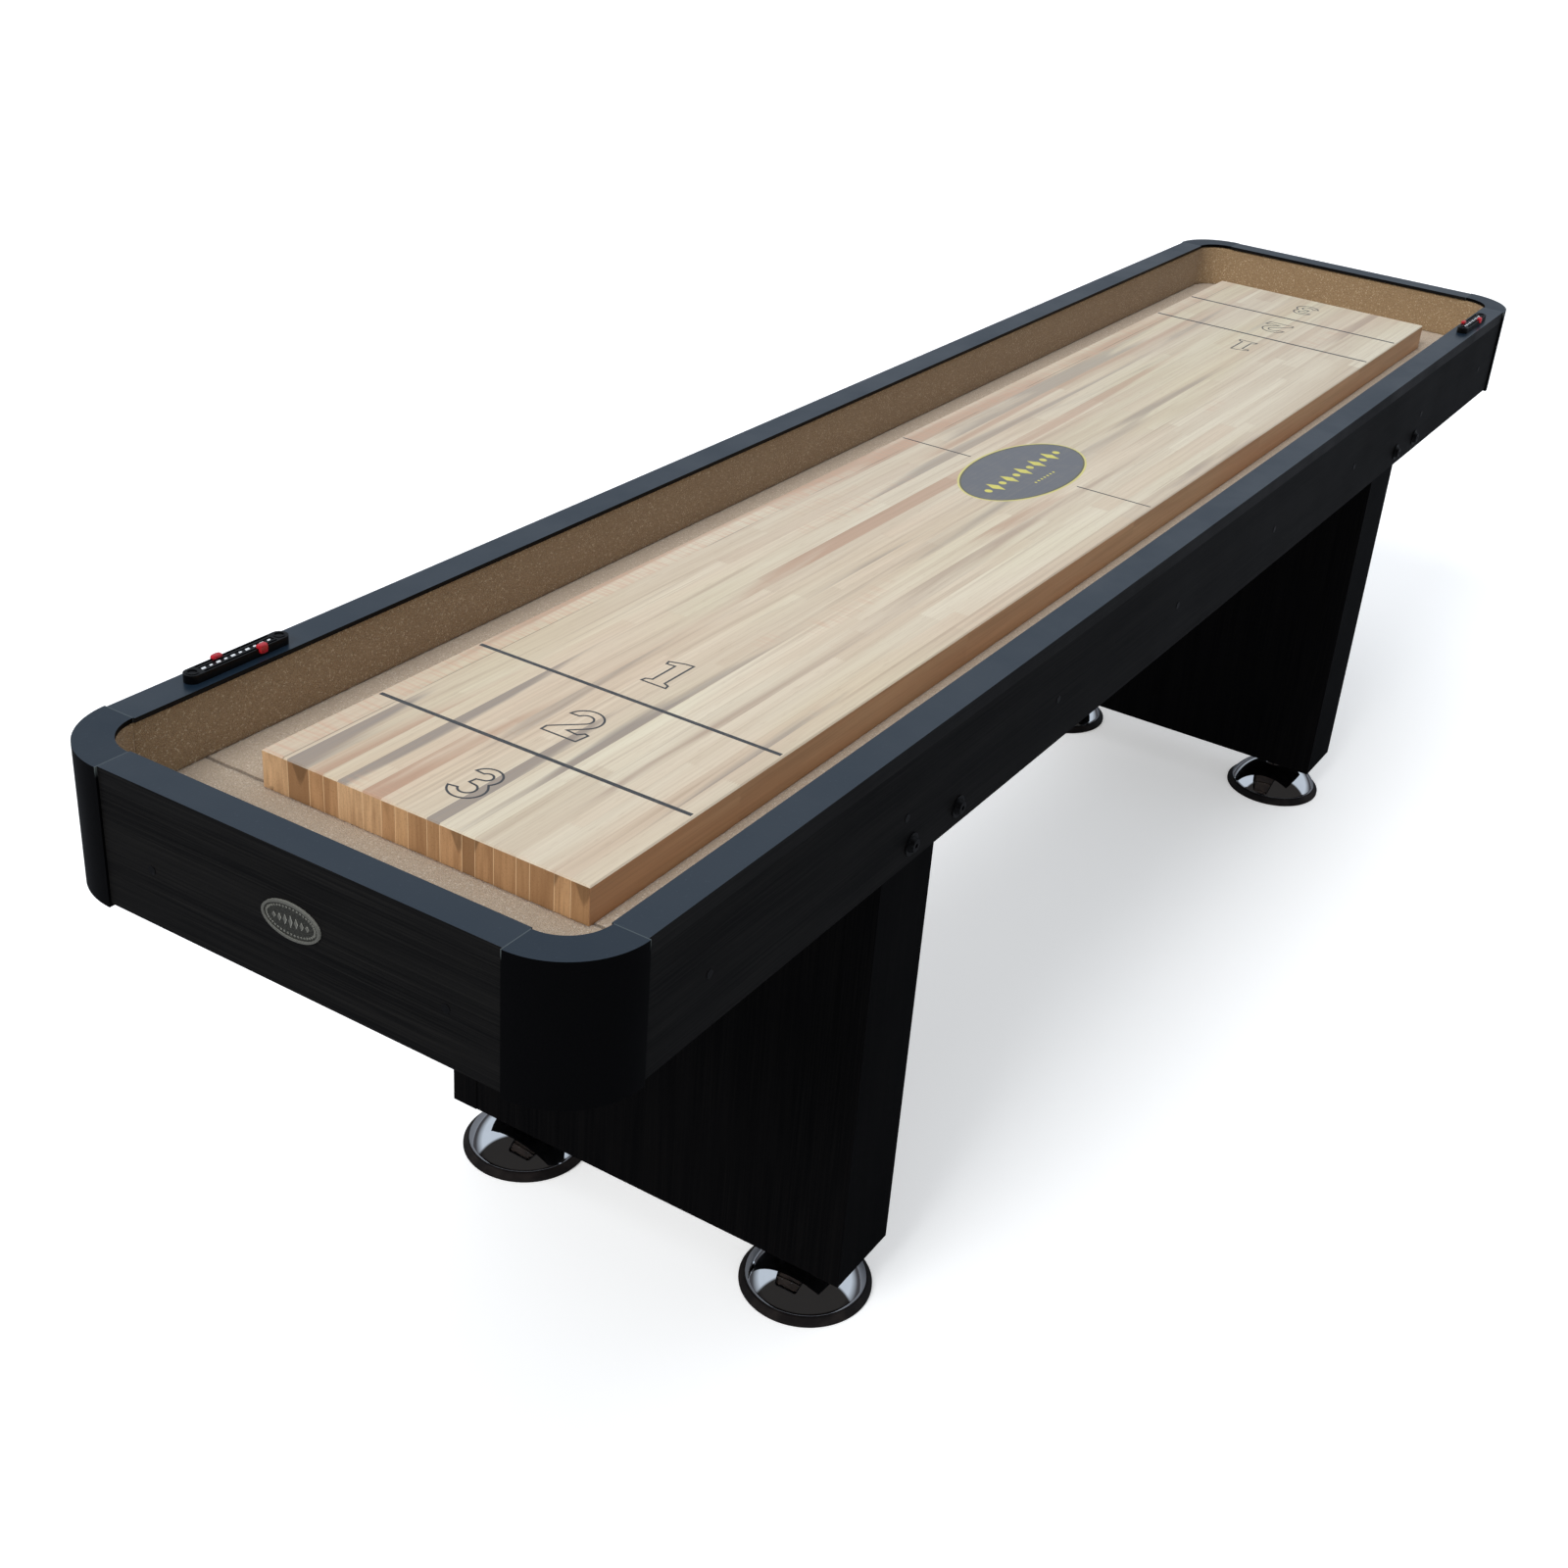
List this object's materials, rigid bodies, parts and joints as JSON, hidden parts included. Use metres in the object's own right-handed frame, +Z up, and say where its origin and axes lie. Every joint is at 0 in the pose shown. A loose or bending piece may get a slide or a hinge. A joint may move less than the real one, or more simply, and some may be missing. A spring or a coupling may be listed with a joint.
{
  "type": "shuffleboard table",
  "caption": "Long table with a laminated maple playfield in a carpeted gutter, black rounded cabinet, two pedestal legs, screw-adjusted feet and sliding score markers.",
  "frame": {"origin": "on the floor, under the middle of the table", "axes": "+X along the table from the near end to the far end, +Y across it to the left side, +Z up"},
  "size_m": [2.748, 0.635, 0.8048],
  "materials": {
    "maple": "clear satin coat over end-jointed hard maple strips",
    "stained_wood": "plywood and pine with a dark stain",
    "gutter_carpet": "low ribbed carpet, light tan",
    "wall_carpet": "coarse looped carpet on thin liner boards, brown tan",
    "black_laminate": "black laminate with a fine horizontal grain, satin",
    "leg_laminate": "black laminate, satin",
    "rail_laminate": "slate black laminate, satin",
    "corner_plastic": "fine matte grain",
    "badge_metal": "pewter, brushed",
    "black_steel": "black oxide",
    "zinc_steel": "zinc plated",
    "pad_rubber": "black rubber",
    "chrome": "polished",
    "scorer_plastic": "black, semi gloss",
    "marker_plastic": "red, gloss"
  },
  "bodies": {
    "table": {"playfield": "maple", "cabinet_floor": "stained_wood", "brace_end_near": "stained_wood", "brace_near": "stained_wood", "brace_middle": "stained_wood", "brace_far": "stained_wood", "brace_end_far": "stained_wood", "near_leg_top_plate": "stained_wood", "far_leg_top_plate": "stained_wood", "gutter_carpet": "gutter_carpet", "side_liner_left": "wall_carpet", "side_liner_right": "wall_carpet", "end_liner_near": "wall_carpet", "end_liner_far": "wall_carpet", "side_apron_left": "black_laminate", "side_apron_right": "black_laminate", "end_apron_near": "black_laminate", "end_apron_far": "black_laminate", "side_rail_left": "rail_laminate", "side_rail_right": "rail_laminate", "end_rail_near": "rail_laminate", "end_rail_far": "rail_laminate", "corner_near_left": "corner_plastic", "corner_near_right": "corner_plastic", "corner_far_left": "corner_plastic", "corner_far_right": "corner_plastic", "badge_near": "badge_metal", "badge_far": "badge_metal", "near_leg_post_left": "leg_laminate", "near_leg_post_right": "leg_laminate", "near_leg_panel_outer": "leg_laminate", "near_leg_panel_inner": "leg_laminate", "near_leg_bottom_plate": "leg_laminate", "far_leg_post_left": "leg_laminate", "far_leg_post_right": "leg_laminate", "far_leg_panel_outer": "leg_laminate", "far_leg_panel_inner": "leg_laminate", "far_leg_bottom_plate": "leg_laminate", "leg_bolts": "black_steel", "leg_washers": "black_steel", "cabinet_screws": "black_steel", "scorer_screws": "black_steel", "leg_nuts": "zinc_steel", "playfield_screws": "zinc_steel", "leveler_inserts": "zinc_steel", "scorer_left": "scorer_plastic", "scorer_right": "scorer_plastic"},
    "pad_near_left": {"foot_pad_near_left": "pad_rubber"},
    "dome_near_left": {"foot_dome_near_left": "chrome"},
    "pad_near_right": {"foot_pad_near_right": "pad_rubber"},
    "dome_near_right": {"foot_dome_near_right": "chrome"},
    "pad_far_left": {"foot_pad_far_left": "pad_rubber"},
    "dome_far_left": {"foot_dome_far_left": "chrome"},
    "pad_far_right": {"foot_pad_far_right": "pad_rubber"},
    "dome_far_right": {"foot_dome_far_right": "chrome"},
    "marker_left_outer": {"marker_left_outer": "marker_plastic"},
    "marker_left_inner": {"marker_left_inner": "marker_plastic"},
    "marker_right_outer": {"marker_right_outer": "marker_plastic"},
    "marker_right_inner": {"marker_right_inner": "marker_plastic"}
  },
  "joints": [
    {"name": "foot_lift_near_left", "type": "slide", "parent": "table", "child": "pad_near_left", "axis": [0, 0, -1], "range_m": [0, 0.025]},
    {"name": "foot_turn_near_left", "type": "hinge", "parent": "pad_near_left", "child": "dome_near_left", "pos_m": [-0.791, 0.213, 0], "axis": [0, 0, -1], "range_deg": [0, 5142.4]},
    {"name": "foot_lift_near_right", "type": "slide", "parent": "table", "child": "pad_near_right", "axis": [0, 0, -1], "range_m": [0, 0.025]},
    {"name": "foot_turn_near_right", "type": "hinge", "parent": "pad_near_right", "child": "dome_near_right", "pos_m": [-0.791, -0.213, 0], "axis": [0, 0, -1], "range_deg": [0, 5142.4]},
    {"name": "foot_lift_far_left", "type": "slide", "parent": "table", "child": "pad_far_left", "axis": [0, 0, -1], "range_m": [0, 0.025]},
    {"name": "foot_turn_far_left", "type": "hinge", "parent": "pad_far_left", "child": "dome_far_left", "pos_m": [0.791, 0.213, 0], "axis": [0, 0, -1], "range_deg": [0, 5142.4]},
    {"name": "foot_lift_far_right", "type": "slide", "parent": "table", "child": "pad_far_right", "axis": [0, 0, -1], "range_m": [0, 0.025]},
    {"name": "foot_turn_far_right", "type": "hinge", "parent": "pad_far_right", "child": "dome_far_right", "pos_m": [0.791, -0.213, 0], "axis": [0, 0, -1], "range_deg": [0, 5142.4]},
    {"name": "marker_left_outer_slide", "type": "slide", "parent": "table", "child": "marker_left_outer", "axis": [1, 0, 0], "range_m": [-0.0228, 0.0608]},
    {"name": "marker_left_inner_slide", "type": "slide", "parent": "table", "child": "marker_left_inner", "axis": [1, 0, 0], "range_m": [-0.0678, 0.0158]},
    {"name": "marker_right_outer_slide", "type": "slide", "parent": "table", "child": "marker_right_outer", "axis": [-1, 0, 0], "range_m": [-0.0228, 0.0608]},
    {"name": "marker_right_inner_slide", "type": "slide", "parent": "table", "child": "marker_right_inner", "axis": [-1, 0, 0], "range_m": [-0.0678, 0.0158]}
  ],
  "couplings": [
    {"joint": "foot_lift_near_left", "follows": "foot_turn_near_left", "m_per_rad": 0.00027852},
    {"joint": "foot_lift_near_right", "follows": "foot_turn_near_right", "m_per_rad": 0.00027852},
    {"joint": "foot_lift_far_left", "follows": "foot_turn_far_left", "m_per_rad": 0.00027852},
    {"joint": "foot_lift_far_right", "follows": "foot_turn_far_right", "m_per_rad": 0.00027852}
  ]
}
